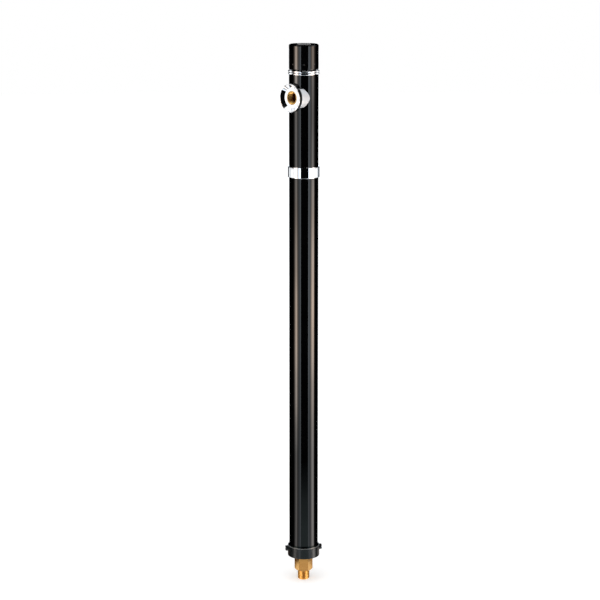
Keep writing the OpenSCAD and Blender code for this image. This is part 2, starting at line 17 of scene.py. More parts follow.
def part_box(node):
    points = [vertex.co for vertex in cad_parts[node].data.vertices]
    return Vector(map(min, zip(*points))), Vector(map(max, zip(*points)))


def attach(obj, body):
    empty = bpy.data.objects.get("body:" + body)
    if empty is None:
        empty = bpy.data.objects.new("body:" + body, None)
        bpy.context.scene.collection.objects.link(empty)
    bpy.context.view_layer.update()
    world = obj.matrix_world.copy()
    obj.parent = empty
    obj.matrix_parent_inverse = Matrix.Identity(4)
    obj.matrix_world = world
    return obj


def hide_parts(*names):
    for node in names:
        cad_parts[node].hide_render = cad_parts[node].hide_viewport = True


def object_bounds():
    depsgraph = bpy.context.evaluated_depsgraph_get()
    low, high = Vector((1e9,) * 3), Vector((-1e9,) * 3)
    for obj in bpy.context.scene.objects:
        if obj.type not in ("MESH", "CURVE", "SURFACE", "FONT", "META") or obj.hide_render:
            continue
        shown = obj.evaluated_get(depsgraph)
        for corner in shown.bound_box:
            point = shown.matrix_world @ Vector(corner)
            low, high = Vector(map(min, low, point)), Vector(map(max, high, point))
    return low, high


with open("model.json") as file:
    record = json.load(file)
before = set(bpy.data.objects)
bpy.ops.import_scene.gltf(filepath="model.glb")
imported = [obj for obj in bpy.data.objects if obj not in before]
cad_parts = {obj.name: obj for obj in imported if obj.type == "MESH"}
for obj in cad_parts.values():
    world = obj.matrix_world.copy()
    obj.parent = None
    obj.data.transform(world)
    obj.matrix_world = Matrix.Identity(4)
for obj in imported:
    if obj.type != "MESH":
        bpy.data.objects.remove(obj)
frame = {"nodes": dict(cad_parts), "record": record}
nodes = frame["nodes"]
cad_low, cad_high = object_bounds()
scene = bpy.context.scene
scene.view_settings.view_transform = "Standard"
print("solids:", len(nodes), "height:", round(cad_high.z - cad_low.z, 4), "m")

# %% [markdown]
# The camera
#
# The photograph looks down on the standpipe a little, with the outlet turned to the left. A short lens close
# by would show it too, but the pole would taper. So a long lens stands three metres away, which keeps the
# pole's sides almost parallel. The camera and the point it looks at move sideways together, so that the pole
# stands just right of the middle without any lens shift.

# %% Place the camera
VIEW_AZIMUTH = math.radians(45)
VIEW_ELEVATION = math.radians(12)
VIEW_DISTANCE = 3.2
AIM_HEIGHT = 0.495
POLE_RIGHT_OF_MIDDLE = 0.0064
LENS_MM = 109.92
SENSOR_MM = 36

towards_camera = Vector((math.sin(VIEW_AZIMUTH), -math.cos(VIEW_AZIMUTH), 0))
camera_right = Vector((math.cos(VIEW_AZIMUTH), math.sin(VIEW_AZIMUTH), 0))
back = towards_camera * math.cos(VIEW_ELEVATION) + Vector((0, 0, math.sin(VIEW_ELEVATION)))

camera_data = bpy.data.cameras.new("portrait_camera")
camera_data.lens = LENS_MM
camera_data.sensor_width = SENSOR_MM
camera = bpy.data.objects.new("portrait_camera", camera_data)
scene.collection.objects.link(camera)
aim = Vector((0, 0, AIM_HEIGHT)) - camera_right * POLE_RIGHT_OF_MIDDLE
camera.location = aim + back * VIEW_DISTANCE
camera.rotation_mode = "QUATERNION"
camera.rotation_quaternion = (-back).to_track_quat("-Z", "Y")
scene.camera = camera
print("camera at", [round(v, 3) for v in camera.location])

# %% [markdown]
# Small helpers for node trees
#
# Every finish below is a tree of nodes. A tree can be drawn by hand in the editor, but a script can be read
# and run again. These helpers keep the cells short: they add a node and fill its sockets, join two sockets,
# work out a sum, and start an empty material with its output.

# %% Helpers for node trees


def add_node(tree, kind, settings=None, values=None):
    node = tree.nodes.new(kind)
    for name, value in (settings or {}).items():
        setattr(node, name, value)
    for name, value in (values or {}).items():
        node.inputs[name].default_value = value
    return node


def join(tree, source, target):
    tree.links.new(source, target)


def arithmetic(tree, operation, first, second=0.0):
    node = add_node(tree, "ShaderNodeMath", {"operation": operation})
    for socket, value in zip(node.inputs, (first, second)):
        if isinstance(value, (int, float)):
            socket.default_value = value
        else:
            join(tree, value, socket)
    return node.outputs[0]


def start_material(name):
    material = bpy.data.materials.new(name)
    material.use_nodes = True
    material.node_tree.nodes.clear()
    output = add_node(material.node_tree, "ShaderNodeOutputMaterial")
    return material, material.node_tree, output


# %% [markdown]
# The white ground
#
# The object stands on a white ground without a horizon. A curved backdrop could give that from one side, but
# a wide floor under a white world gives it from all sides. The floor is plain pale diffuse, so it keeps the
# soft shadow, and it adds a little light of its own for camera, glossy and transmission rays, which lifts
# the open floor to white. The world does the same beyond the floor, and stays a dim grey for the light on
# the object.

# %% Floor and world
FLOOR_Z = cad_low.z
FLOOR_RADIUS = 9.0
FLOOR_LIFT = 0.45
SKY_FILL = 0.35


def background_rays(tree):
    rays = add_node(tree, "ShaderNodeLightPath")
    seen = arithmetic(tree, "MAXIMUM", rays.outputs["Is Camera Ray"], rays.outputs["Is Glossy Ray"])
    return arithmetic(tree, "MAXIMUM", seen, rays.outputs["Is Transmission Ray"])


floor_mesh = bpy.data.meshes.new("floor")
shape = bmesh.new()
bmesh.ops.create_circle(shape, cap_ends=True, segments=96, radius=FLOOR_RADIUS)
bmesh.ops.translate(shape, verts=shape.verts, vec=(0, 0, FLOOR_Z))
shape.to_mesh(floor_mesh)
shape.free()
floor = bpy.data.objects.new("floor", floor_mesh)
scene.collection.objects.link(floor)

floor_material, tree, output = start_material("white_ground")
pale = add_node(tree, "ShaderNodeBsdfDiffuse", values={"Color": (0.8, 0.8, 0.8, 1)})
lift = add_node(tree, "ShaderNodeEmission", values={"Color": (1, 1, 1, 1)})
both = add_node(tree, "ShaderNodeAddShader")
join(tree, arithmetic(tree, "MULTIPLY", background_rays(tree), FLOOR_LIFT), lift.inputs["Strength"])
join(tree, pale.outputs[0], both.inputs[0])
join(tree, lift.outputs[0], both.inputs[1])
join(tree, both.outputs[0], output.inputs["Surface"])
floor_mesh.materials.append(floor_material)

world = bpy.data.worlds.new("white_studio")
world.use_nodes = True
tree = world.node_tree
tree.nodes.clear()
world_output = add_node(tree, "ShaderNodeOutputWorld")
sky = add_node(tree, "ShaderNodeBackground", values={"Color": (1, 1, 1, 1)})
beyond = arithmetic(tree, "MULTIPLY", background_rays(tree), 1 - SKY_FILL)
join(tree, arithmetic(tree, "ADD", beyond, SKY_FILL), sky.inputs["Strength"])
join(tree, sky.outputs[0], world_output.inputs["Surface"])
scene.world = world
print("floor at", round(FLOOR_Z, 4))

# %% [markdown]
# The studio's soft boxes
#
# Gloss black paint has hardly any colour of its own: what the eye reads as its shape is the reflection of
# the lamps. The photograph shows two soft warm bands, each with a thinner cool strip on its inner side, and
# deep black between them and along both edges. Area lamps could stand for the soft boxes, but a panel with
# its own light can fade across and along its height. So two tall panels stand left and right of the camera,
# each with a narrow cool strip beside it. One more strip stands behind the object and draws a line down its
# back. All of them show in reflections only, so they add no light to the floor and take none from the
# object. Because the camera looks down, the lower reflections run along the floor, so each panel by the
# camera also lies along the floor towards the foot of the pole.

# %% Panels round the object
PANEL_RADIUS = 0.75
PANEL_TOP = 1.02
PANEL_STEP = 3
LEAST_STEPS = 4


def panel_direction(degrees):
    angle = math.radians(degrees)
    return towards_camera * math.cos(angle) + camera_right * math.sin(angle)


def make_panel(name, left, right, profile, material):
    steps = max(LEAST_STEPS, int((right - left) / PANEL_STEP))
    shape = bmesh.new()
    uv = shape.loops.layers.uv.new("across")
    columns = []
    for step in range(steps + 1):
        direction = panel_direction(left + (right - left) * step / steps)
        columns.append([shape.verts.new(direction * radius + Vector((0, 0, z))) for radius, z in profile])
    for step in range(steps):
        for row in range(len(profile) - 1):
            corners = [(step, row), (step + 1, row), (step + 1, row + 1), (step, row + 1)]
            face = shape.faces.new([columns[column][level] for column, level in corners])
            for loop, (column, level) in zip(face.loops, corners):
                loop[uv].uv = (column / steps, level / (len(profile) - 1))
    mesh = bpy.data.meshes.new(name)
    shape.to_mesh(mesh)
    shape.free()
    mesh.materials.append(material)
    panel = bpy.data.objects.new(name, mesh)
    scene.collection.objects.link(panel)
    panel.visible_camera = False
    panel.visible_diffuse = False
    panel.visible_shadow = False
    return panel


# %% The light of a soft box


def fill_ramp(ramp, stops):
    ramp.interpolation = "EASE"
    for position, _ in stops[2:]:
        ramp.elements.new(position)
    for element, (position, value) in zip(ramp.elements, stops):
        element.position = position
        element.color = (value, value, value, 1)


def ramp_node(tree, stops, factor):
    node = add_node(tree, "ShaderNodeValToRGB")
    fill_ramp(node.color_ramp, stops)
    join(tree, factor, node.inputs["Fac"])
    return node.outputs["Color"]


def soft_box_material(name, tints, strength, across, heights, warmth):
    material, tree, output = start_material(name)
    split = add_node(tree, "ShaderNodeSeparateXYZ")
    join(tree, add_node(tree, "ShaderNodeUVMap", {"uv_map": "across"}).outputs[0], split.inputs[0])
    level = add_node(tree, "ShaderNodeSeparateXYZ")
    join(tree, add_node(tree, "ShaderNodeTexCoord").outputs["Object"], level.inputs[0])
    side = ramp_node(tree, across, split.outputs["X"])
    upright = ramp_node(tree, heights, level.outputs["Z"])
    glow = add_node(tree, "ShaderNodeEmission")
    tint = add_node(tree, "ShaderNodeMix", {"data_type": "RGBA"})
    tint.inputs[6].default_value = (*tints[0], 1)
    tint.inputs[7].default_value = (*tints[1], 1)
    join(tree, ramp_node(tree, warmth, level.outputs["Z"]), tint.inputs["Factor"])
    join(tree, tint.outputs[2], glow.inputs["Color"])
    amount = arithmetic(tree, "MULTIPLY", side, upright)
    join(tree, arithmetic(tree, "MULTIPLY", amount, strength), glow.inputs["Strength"])
    join(tree, glow.outputs[0], output.inputs["Surface"])
    return material


def floor_card_material(name, tint, strength, outwards):
    material, tree, output = start_material(name)
    split = add_node(tree, "ShaderNodeSeparateXYZ")
    join(tree, add_node(tree, "ShaderNodeUVMap", {"uv_map": "across"}).outputs[0], split.inputs[0])
    glow = add_node(tree, "ShaderNodeEmission", values={"Color": (*tint, 1)})
    amount = ramp_node(tree, outwards, split.outputs["Y"])
    join(tree, arithmetic(tree, "MULTIPLY", amount, strength), glow.inputs["Strength"])
    join(tree, glow.outputs[0], output.inputs["Surface"])
    return material


def plain_card(name, tint, strength):
    material, tree, output = start_material(name)
    glow = add_node(tree, "ShaderNodeEmission", values={"Color": (*tint, 1), "Strength": strength})
    join(tree, glow.outputs[0], output.inputs["Surface"])
    return material


# %% Soft boxes and strips
WARM = (1.0, 0.79, 0.64)
PLAIN = (1.0, 0.97, 0.95)
COOL = (0.84, 0.92, 1.0)
APRON_START = 0.1
APRON_LIFT = 0.001
APRON_Z = FLOOR_Z + APRON_LIFT
WALL_MIDDLE = 0.5
APRON = [(APRON_START, APRON_Z), (PANEL_RADIUS, APRON_Z)]
WALL = [*APRON, (PANEL_RADIUS, WALL_MIDDLE), (PANEL_RADIUS, PANEL_TOP)]
REAR_RADIUS = 0.7
REAR_LIFT = 0.02
REAR_TOP = 0.88
REAR = [(REAR_RADIUS, APRON_Z + REAR_LIFT), (REAR_RADIUS, REAR_TOP)]
# Edges of the panels, in degrees round from the camera, positive to the right
LEFT_END = -88
LEFT_SEAM = -42
FRONT_LEFT = -22
FRONT_RIGHT = 35.5
RIGHT_SEAM = 55
RIGHT_END = 104
WARMTH = [(0.0, 0.15), (0.12, 0.6), (0.3, 1.0), (0.5, 0.8), (0.66, 0.15), (0.8, 0.3), (0.86, 0.9)]
EVEN = [(0.0, 0.0), (1.0, 0.0)]

left_box = soft_box_material(
    "left_soft_box", (PLAIN, WARM), 10.6,
    across=[(0.0, 0.0), (0.16, 0.04), (0.385, 0.34), (0.56, 1.0), (0.62, 1.0), (0.79, 0.4), (1.0, 0.15)],
    heights=[
        (0.0, 0.2), (0.04, 0.31), (0.14, 0.68), (0.25, 1.0), (0.34, 0.98),
        (0.42, 0.68), (0.56, 0.38), (0.66, 0.3), (0.74, 0.3), (0.82, 0.8),
    ],
    warmth=WARMTH,
)
right_box = soft_box_material(
    "right_soft_box", (PLAIN, WARM), 11.5,
    across=[(0.0, 0.2), (0.25, 0.75), (0.36, 1.0), (0.44, 1.0), (0.6, 0.3), (0.85, 0.05), (1.0, 0.0)],
    heights=[
        (0.0, 0.33), (0.04, 0.37), (0.14, 0.53), (0.23, 0.83), (0.33, 1.0),
        (0.42, 0.86), (0.56, 0.51), (0.66, 0.3), (0.74, 0.21), (0.86, 0.33),
    ],
    warmth=WARMTH,
)
left_strip = soft_box_material(
    "left_strip", (COOL, COOL), 2.1,
    across=[(0.0, 0.55), (0.38, 0.5), (0.78, 1.0), (1.0, 1.0)],
    heights=[(0.0, 0.7), (0.3, 1.0), (1.0, 1.0)],
    warmth=EVEN,
)
right_strip = soft_box_material(
    "right_strip", (COOL, COOL), 2.7,
    across=[(0.0, 1.0), (0.3, 1.0), (0.65, 0.55), (1.0, 0.8)],
    heights=[(0.0, 0.5), (0.3, 1.0), (1.0, 0.85)],
    warmth=EVEN,
)
rear_strip = soft_box_material(
    "rear_strip", (COOL, COOL), 4.0,
    across=[(0.0, 0.0), (0.3, 0.7), (0.5, 1.0), (0.7, 0.7), (1.0, 0.0)],
    heights=[(0.0, 0.5), (0.3, 1.0), (1.0, 0.9)],
    warmth=EVEN,
)
make_panel("left_soft_box", LEFT_END, LEFT_SEAM, WALL, left_box)
make_panel("left_strip", LEFT_SEAM, FRONT_LEFT, WALL, left_strip)
make_panel("right_strip", FRONT_RIGHT, RIGHT_SEAM, WALL, right_strip)
make_panel("right_soft_box", RIGHT_SEAM, RIGHT_END, WALL, right_box)
make_panel("rear_strip", 164, 196, REAR, rear_strip)
print("panel ring:", PANEL_RADIUS, "m, top", PANEL_TOP, "m")

# %% [markdown]
# Black cards, and cards on the floor
#
# Whatever isn't a soft box has to look black in the paint. A black world would do that, but then the ground
# would be grey. So black cards close the circle in front, behind and overhead. The collar, the hexagon and
# the nipple look down at the floor, which would fill them with white. Cards lie there instead: dim ones in
# front and on the right, and a dark one on the left, so that each face of the hexagon gets a tone of its
# own.

# %% Black cards
BACK_TOP = 1.1
DOME = [(0.7, 1.4), (0.45, 1.7), (0.05, 1.85)]
UPRIGHT = [(PANEL_RADIUS, APRON_Z), (PANEL_RADIUS, PANEL_TOP)]
BACK = [*APRON, (PANEL_RADIUS, BACK_TOP)]
black_card = plain_card("black_card", (0.75, 0.9, 1.0), 0.003)
make_panel("front_card", FRONT_LEFT, FRONT_RIGHT, UPRIGHT, black_card)
make_panel("back_card", RIGHT_END, LEFT_END + 360, BACK, black_card)
make_panel("front_ceiling", -75, 75, [(PANEL_RADIUS, PANEL_TOP), *DOME], black_card)
make_panel("back_ceiling", 125, 235, [(PANEL_RADIUS, BACK_TOP), *DOME], black_card)
print("black cards stand behind the object up to", BACK_TOP, "m")

# %% Cards on the floor
FOOT_Z = APRON_Z + APRON_LIFT
HEXAGON_FRONT = [(0.046, FOOT_Z), (0.13, FOOT_Z)]
HEXAGON_SIDE = [(0.04, FOOT_Z), (0.19, FOOT_Z)]
NIPPLE_FRONT = [(0.012, FOOT_Z), (0.045, FOOT_Z)]
front_floor = floor_card_material(
    "front_floor", (0.76, 0.97, 1.0), 0.48,
    [(0.0, 1.0), (0.3, 0.9), (0.5, 0.66), (0.88, 0.14), (1.0, 0.03)],
)
hexagon_card = plain_card("hexagon_card", (1.0, 0.93, 0.94), 0.66)
hexagon_shade = plain_card("hexagon_shade", (1.0, 0.6, 0.4), 0.1)
hexagon_dim = plain_card("hexagon_dim", (1.0, 0.9, 0.85), 0.55)
nipple_card = plain_card("nipple_card", (1.0, 0.8, 0.55), 0.4)
make_panel("front_floor", FRONT_LEFT, FRONT_RIGHT, APRON, front_floor)
make_panel("hexagon_card", -38, 38, HEXAGON_FRONT, hexagon_card)
make_panel("hexagon_left_card", -160, -112, HEXAGON_SIDE, hexagon_shade)
make_panel("hexagon_right_card", 112, 160, HEXAGON_SIDE, hexagon_dim)
make_panel("nipple_card", -24, 24, NIPPLE_FRONT, nipple_card)
print("floor cards lie at", round(FOOT_Z, 4), "m")

# %% [markdown]
# Small white cards for the chrome
#
# Chrome shows whatever stands round it. One white tent would make it all white, so a photographer holds
# small cards where each chrome face looks, and leaves the rest black. The cup looks to the left, high and
# low, and the saddle to the right. The band has five cards, white in the middle, grey beside that and slate
# at the right end, so that its ends fall off into the dark. The cards stand inside the big panels. All but
# the small first one of the cup are linked to the pieces that they serve, so to the black pole they are
# black. The ring's left card stands in front of the cup's high card, so it serves the cup too.

# %% A card for one piece
CARD_RADIUS = 0.6
white_card = plain_card("white_card", (1.0, 1.0, 1.0), 1.25)
grey_card = plain_card("grey_card", (0.95, 0.98, 1.0), 0.9)
slate_card = plain_card("slate_card", (0.75, 0.9, 1.0), 0.15)


def only_for(panel, *pieces):
    lit = bpy.data.collections.new(panel.name + "_lights")
    for piece in pieces:
        lit.objects.link(nodes[piece])
    panel.light_linking.receiver_collection = lit


def small_card(name, left, right, node, material, spare=0.0):
    bottom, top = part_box(node)[0].z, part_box(node)[1].z
    profile = []
    for z in (bottom - spare, top + spare):
        fall = (camera.location.z - z) / (VIEW_DISTANCE * math.cos(VIEW_ELEVATION))
        profile.append((CARD_RADIUS, z - CARD_RADIUS * fall))
    return make_panel(name, left, right, profile, material)


# %% Cards for the band
BAND_CARDS = [
    ("band_left_card", -104, -76, white_card),
    ("band_left_edge", -136, -104, grey_card),
    ("band_right_card", 82, 112, white_card),
    ("band_right_edge", 112, 127, grey_card),
    ("band_right_end", 127, 150, slate_card),
]
for name, left, right, material in BAND_CARDS:
    only_for(small_card(name, left, right, "chrome_band", material), "chrome_band")
print("cards for the band:", len(BAND_CARDS))

# %% Cards for cup, ring and saddle
CUP_CARD_TRIM = 0.005
LOW_CARD = [(0.2, FOOT_Z), (0.7, FOOT_Z), (0.7, 0.72)]
HIGH_CARD = [(0.68, 0.88), (0.68, 1.9)]
FRONT_HIGH_CARD = [(0.73, 1.03), (0.68, 1.4), (0.44, 1.68), (0.05, 1.8)]
RING_CARD = [(0.5, 0.7), (0.5, 1.25)]
SADDLE_CARD = [(0.65, 0.2), (0.65, 1.2), (0.5, 1.6), (0.15, 1.78)]
small_card("cup_card", -112, -66, "outlet_cup", white_card, -CUP_CARD_TRIM)
only_for(make_panel("cup_low_card", -160, LEFT_END, LOW_CARD, white_card), "outlet_cup")
cup_high_card = make_panel("cup_high_card", -165, LEFT_END, HIGH_CARD, white_card)
cup_front_card = make_panel("cup_front_card", LEFT_END, -46, FRONT_HIGH_CARD, white_card)
only_for(cup_high_card, "outlet_cup")
only_for(cup_front_card, "outlet_cup")
only_for(make_panel("ring_left_card", -138, -100, RING_CARD, white_card), "trim_ring", "outlet_cup")
only_for(make_panel("ring_right_card", 106, 146, RING_CARD, white_card), "trim_ring")
saddle_card = make_panel("saddle_card", RIGHT_END, 160, SADDLE_CARD, white_card)
only_for(saddle_card, "outlet_saddle", "outlet_cup")
print("small cards at", CARD_RADIUS, "m")

# %% [markdown]
# The lamp overhead
#
# One broad lamp straight above gives the floor its even white and the soft shadow round the foot. An area
# lamp would leave the far floor darker, so it is a sun lamp with a wide angle, which falls equally on the
# whole floor.

# %% Overhead lamp
LAMP_STRENGTH = 1.6
LAMP_SPREAD = math.radians(70)
LAMP_LEAN = (math.radians(12), math.radians(8), 0)
LAMP_HEIGHT = 2.5
overhead_data = bpy.data.lights.new("overhead", "SUN")
overhead_data.energy = LAMP_STRENGTH
overhead_data.angle = LAMP_SPREAD
overhead = bpy.data.objects.new("overhead", overhead_data)
overhead.rotation_euler = LAMP_LEAN
overhead.location = (0, 0, LAMP_HEIGHT)
scene.collection.objects.link(overhead)
print("overhead lamp:", overhead_data.energy)

# %% [markdown]
# Effects that several finishes share
#
# Three effects come back in many finishes. Each could be built again in every material, but a shader group
# with named sockets is built once. Orange peel is the faint unevenness of sprayed paint and moulded plastic.
# Handling film is the patchy haze that fingers and dust leave on a gloss surface. Turned rings are the fine
# grooves that a lathe tool leaves round an axis. The groups only put out heights and masks, and each
# material decides what to do with them.

# %% Start a shader group


def start_group(name, inputs, outputs):
    group = bpy.data.node_groups.new(name, "ShaderNodeTree")
    for label, kind, value in inputs:
        socket = group.interface.new_socket(name=label, in_out="INPUT", socket_type=kind)
        if value is not None:
            socket.default_value = value
    for label in outputs:
        group.interface.new_socket(name=label, in_out="OUTPUT", socket_type="NodeSocketFloat")
    entry = add_node(group, "NodeGroupInput")
    result = add_node(group, "NodeGroupOutput")
    return group, entry, result


# %% Orange peel
orange_peel, entry, result = start_group(
    "orange_peel",
    [("Vector", "NodeSocketVector", None), ("Cell", "NodeSocketFloat", 0.002)],
    ["Height"],
)
cells = add_node(orange_peel, "ShaderNodeTexNoise", values={"Detail": 1.5, "Roughness": 0.45})
join(orange_peel, entry.outputs["Vector"], cells.inputs["Vector"])
join(orange_peel, arithmetic(orange_peel, "DIVIDE", 1.0, entry.outputs["Cell"]), cells.inputs["Scale"])
join(orange_peel, cells.outputs["Fac"], result.inputs["Height"])
print("group:", orange_peel.name)

# %% Handling film
SPECKS_PER_PATCH = 18.0
handling_film, entry, result = start_group(
    "handling_film",
    [
        ("Vector", "NodeSocketVector", None),
        ("Patch", "NodeSocketFloat", 0.03),
        ("Cover", "NodeSocketFloat", 0.5),
    ],
    ["Mask"],
)
patches = add_node(
    handling_film, "ShaderNodeTexNoise", values={"Detail": 3.0, "Roughness": 0.6, "Distortion": 0.6},
)
specks = add_node(handling_film, "ShaderNodeTexNoise", values={"Detail": 2.0, "Roughness": 0.7})
join(handling_film, entry.outputs["Vector"], patches.inputs["Vector"])
join(handling_film, entry.outputs["Vector"], specks.inputs["Vector"])
patch_scale = arithmetic(handling_film, "DIVIDE", 1.0, entry.outputs["Patch"])
speck_scale = arithmetic(handling_film, "DIVIDE", SPECKS_PER_PATCH, entry.outputs["Patch"])
join(handling_film, patch_scale, patches.inputs["Scale"])
join(handling_film, speck_scale, specks.inputs["Scale"])
covered = add_node(
    handling_film, "ShaderNodeMapRange", {"interpolation_type": "SMOOTHSTEP"},
    {"From Min": 0.42, "From Max": 0.72, "To Min": 0.0},
)
join(handling_film, patches.outputs["Fac"], covered.inputs["Value"])
join(handling_film, entry.outputs["Cover"], covered.inputs["To Max"])
mask = arithmetic(handling_film, "MULTIPLY", covered.outputs["Result"], specks.outputs["Fac"])
join(handling_film, mask, result.inputs["Mask"])
print("group:", handling_film.name)

# %% Turned rings
turned_rings, entry, result = start_group(
    "turned_rings",
    [("Vector", "NodeSocketVector", None), ("Pitch", "NodeSocketFloat", 0.0004)],
    ["Height", "Tone"],
)
split = add_node(turned_rings, "ShaderNodeSeparateXYZ")
join(turned_rings, entry.outputs["Vector"], split.inputs[0])
flat = add_node(turned_rings, "ShaderNodeCombineXYZ")
join(turned_rings, split.outputs["X"], flat.inputs["X"])
join(turned_rings, split.outputs["Y"], flat.inputs["Y"])
from_axis = add_node(turned_rings, "ShaderNodeVectorMath", {"operation": "LENGTH"})
join(turned_rings, flat.outputs[0], from_axis.inputs[0])
travel = arithmetic(turned_rings, "ADD", split.outputs["Z"], from_axis.outputs["Value"])
turns = arithmetic(turned_rings, "DIVIDE", travel, entry.outputs["Pitch"])
ON_A_LINE = {"noise_dimensions": "1D"}
fine = add_node(turned_rings, "ShaderNodeTexNoise", ON_A_LINE, {"Scale": 1.0, "Detail": 1.0})
broad = add_node(turned_rings, "ShaderNodeTexNoise", ON_A_LINE, {"Scale": 0.11, "Detail": 2.0})
join(turned_rings, turns, fine.inputs["W"])
join(turned_rings, turns, broad.inputs["W"])
join(turned_rings, fine.outputs["Fac"], result.inputs["Height"])
join(turned_rings, broad.outputs["Fac"], result.inputs["Tone"])
print("group:", turned_rings.name)

# %% [markdown]
# Placing a group, and the parts of a finish
#
# A material could read its pattern from a UV map, but the solids have none. It reads Object coordinates
# instead, so its pattern sits still on the part at its real size in metres. The helpers place a group in a
# material, spread a mask between two values, mix two colours, and turn a height into a bump.

# %% Helpers for finishes


def object_place(tree):
    return add_node(tree, "ShaderNodeTexCoord").outputs["Object"]


def place_group(tree, group, vector, values):
    node = add_node(tree, "ShaderNodeGroup", {"node_tree": group}, values)
    join(tree, vector, node.inputs["Vector"])
    return node


def spread(tree, mask, low, high, target):
    node = add_node(tree, "ShaderNodeMapRange", values={"To Min": low, "To Max": high})
    join(tree, mask, node.inputs["Value"])
    join(tree, node.outputs["Result"], target)


def mix_colours(tree, mask, first, second):
    node = add_node(tree, "ShaderNodeMix", {"data_type": "RGBA"})
    for socket, colour in zip(node.inputs[6:8], (first, second)):
        if isinstance(colour, tuple):
            socket.default_value = (*colour, 1)
        else:
            join(tree, colour, socket)
    join(tree, mask, node.inputs["Factor"])
    return node.outputs[2]


def blend_colours(tree, mask, first, second, target):
    join(tree, mix_colours(tree, mask, first, second), target)


def smooth_step(tree, value, start, end):
    node = add_node(
        tree, "ShaderNodeMapRange", {"interpolation_type": "SMOOTHSTEP"},
        {"From Min": start, "From Max": end},
    )
    join(tree, value, node.inputs["Value"])
    return node.outputs["Result"]


def step_along(tree, vector, axis, start, end):
    split = add_node(tree, "ShaderNodeSeparateXYZ")
    join(tree, vector, split.inputs[0])
    return smooth_step(tree, split.outputs[axis], start, end)


def bump(tree, height, strength, distance, target):
    node = add_node(tree, "ShaderNodeBump", values={"Strength": strength, "Distance": distance})
    join(tree, height, node.inputs["Height"])
    join(tree, node.outputs["Normal"], target)


def start_finish(name, values):
    material, tree, output = start_material(name)
    surface = add_node(tree, "ShaderNodeBsdfPrincipled", values=values)
    join(tree, surface.outputs[0], output.inputs["Surface"])
    return material, tree, surface


# %% [markdown]
# Black finishes
#
# The pole is sprayed gloss black: almost no colour, a sharp reflection, a trace of orange peel and a little
# haze where hands have been. The knob is a smooth black moulding. The collar at the foot is a casting under
# semi-gloss paint, so its grain is coarser and its reflections are softer. A painted highlight runs along
# the lip of the collar as a thin pale grey band. The bevel above the lip is painted dark: it hardly reflects,
# so it shows black. A lower specular level would give that too, but the export drops it when a mask drives
# it. So the mask drives Metallic: a metal with a near-black colour is dark.

# %% Gloss black paint
PAINT_BLACK = (0.0006, 0.0006, 0.0007)
PAINT_HAZE = (0.004, 0.004, 0.0039)
gloss_paint, tree, surface = start_finish("gloss_black_paint", {"IOR": 1.5})
place = object_place(tree)
film = place_group(tree, handling_film, place, {"Patch": 0.05, "Cover": 0.5})
peel = place_group(tree, orange_peel, place, {"Cell": 0.003})
blend_colours(tree, film.outputs["Mask"], PAINT_BLACK, PAINT_HAZE, surface.inputs["Base Color"])
spread(tree, film.outputs["Mask"], 0.045, 0.16, surface.inputs["Roughness"])
bump(tree, peel.outputs["Height"], 0.08, 0.0002, surface.inputs["Normal"])
print("finish:", gloss_paint.name)

# %% Knob moulding
KNOB_BLACK = (0.001, 0.001, 0.0011)
KNOB_HAZE = (0.006, 0.006, 0.006)
knob_moulding, tree, surface = start_finish("knob_moulding", {"IOR": 1.53})
place = object_place(tree)
film = place_group(tree, handling_film, place, {"Patch": 0.018, "Cover": 0.7})
peel = place_group(tree, orange_peel, place, {"Cell": 0.0012})
blend_colours(tree, film.outputs["Mask"], KNOB_BLACK, KNOB_HAZE, surface.inputs["Base Color"])
spread(tree, film.outputs["Mask"], 0.06, 0.2, surface.inputs["Roughness"])
bump(tree, peel.outputs["Height"], 0.06, 0.0001, surface.inputs["Normal"])
print("finish:", knob_moulding.name)

# %% Painted casting
CASTING_BLACK = (0.005, 0.0072, 0.008)
CASTING_HAZE = (0.014, 0.017, 0.0175)
# Painted highlight along the collar's lip: a thin pale grey band, broken up by the grain
LIP_HIGHLIGHT_GREY = (0.4, 0.41, 0.41)
LIP_BELOW_TOP = 0.0035
LIP_HALF = 0.0008
LIP_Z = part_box("foot_collar")[1].z - LIP_BELOW_TOP
painted_casting, tree, surface = start_finish("painted_casting", {"IOR": 1.5})
place = object_place(tree)
film = place_group(tree, handling_film, place, {"Patch": 0.02, "Cover": 0.8})
grain = place_group(tree, orange_peel, place, {"Cell": 0.0009})
below_lip = step_along(tree, place, "Z", LIP_Z - LIP_HALF, LIP_Z)
painted_dark_bevel = step_along(tree, place, "Z", LIP_Z, LIP_Z + LIP_HALF)
lip = arithmetic(tree, "SUBTRACT", below_lip, painted_dark_bevel)
lip_highlight = arithmetic(tree, "MULTIPLY", lip, grain.outputs["Height"])
paint = mix_colours(tree, film.outputs["Mask"], CASTING_BLACK, CASTING_HAZE)
blend_colours(tree, lip_highlight, paint, LIP_HIGHLIGHT_GREY, surface.inputs["Base Color"])
# Painted dark reflection: above the lip the bevel becomes a near-black metal, so it reflects almost nothing
join(tree, painted_dark_bevel, surface.inputs["Metallic"])
spread(tree, film.outputs["Mask"], 0.2, 0.4, surface.inputs["Roughness"])
bump(tree, grain.outputs["Height"], 0.25, 0.0002, surface.inputs["Normal"])
print("finish:", painted_casting.name)

# %% [markdown]
# Metals
#
# Chrome plate is a bright mirror with a trace of film. The small hole in the cup has painted shade: the
# chrome turns near-black inside it and along its edge. The saddle behind the cup is satin: it scatters more
# than it mirrors, and its front, where the cup sits on it, carries a painted shadow, near-black. The brass,
# steel and copper pieces are turned on a lathe, so one recipe with the shared rings makes them all. The
# outlet socket is turned round its own axis, which points out of the pole, so its material turns the
# coordinates first, and painted shade darkens it towards the bottom of the bore. The foot's thread is fresh
# cut and paler than the hexagon above it.

# %% Chrome plate
OUTLET_Z = frame["record"]["mounts"][1]["pos_m"][2]
HOLE_ABOVE_OUTLET = 0.02025
HOLE_R = 0.002
HOLE_EDGE = 0.0007
